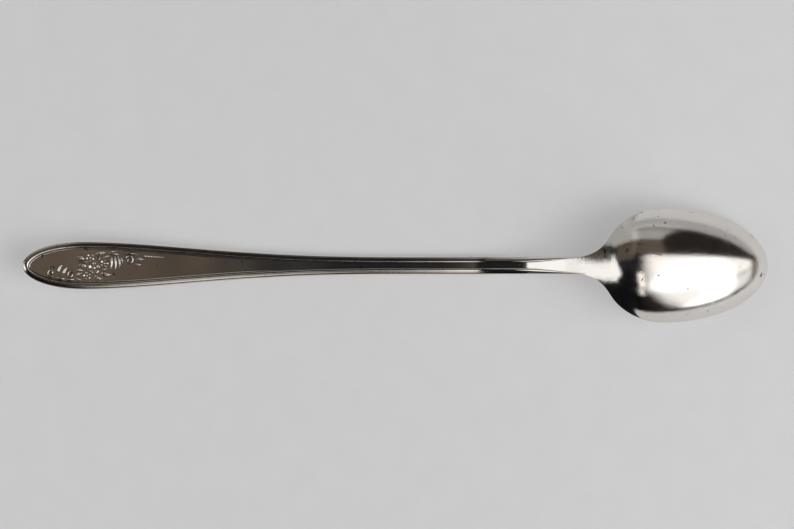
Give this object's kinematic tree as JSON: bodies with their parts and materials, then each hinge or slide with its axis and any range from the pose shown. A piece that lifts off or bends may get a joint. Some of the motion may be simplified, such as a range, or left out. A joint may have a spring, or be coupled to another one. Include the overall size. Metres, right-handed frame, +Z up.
{
  "type": "iced tea spoon",
  "caption": "Long-handled spoon with a deep oval bowl, a slim shank and a rounded handle with threaded borders and a scroll and blossom spray, lying face down.",
  "frame": {"origin": "on the table, under the middle of the spoon's box, as it lies face down", "axes": "+X along the spoon from the handle's end to the bowl's tip, +Z up from the table, out of the spoon's back"},
  "size_m": [0.19, 0.0288, 0.0163],
  "materials": {
    "silver_plate": "polished silver plate with fine wear",
    "silver_relief": "polished silver plate, darkened in the hollows"
  },
  "bodies": {
    "root": {"bowl": "silver_plate", "neck": "silver_plate", "shank": "silver_plate", "handle": "silver_plate", "back_border": "silver_relief", "back_thread": "silver_relief", "back_scrolls": "silver_relief", "back_leaves": "silver_relief", "back_blossoms": "silver_relief", "back_beads": "silver_relief", "front_border": "silver_relief", "front_thread": "silver_relief", "front_scrolls": "silver_relief", "front_leaves": "silver_relief", "front_blossoms": "silver_relief", "front_beads": "silver_relief"}
  },
  "joints": []
}
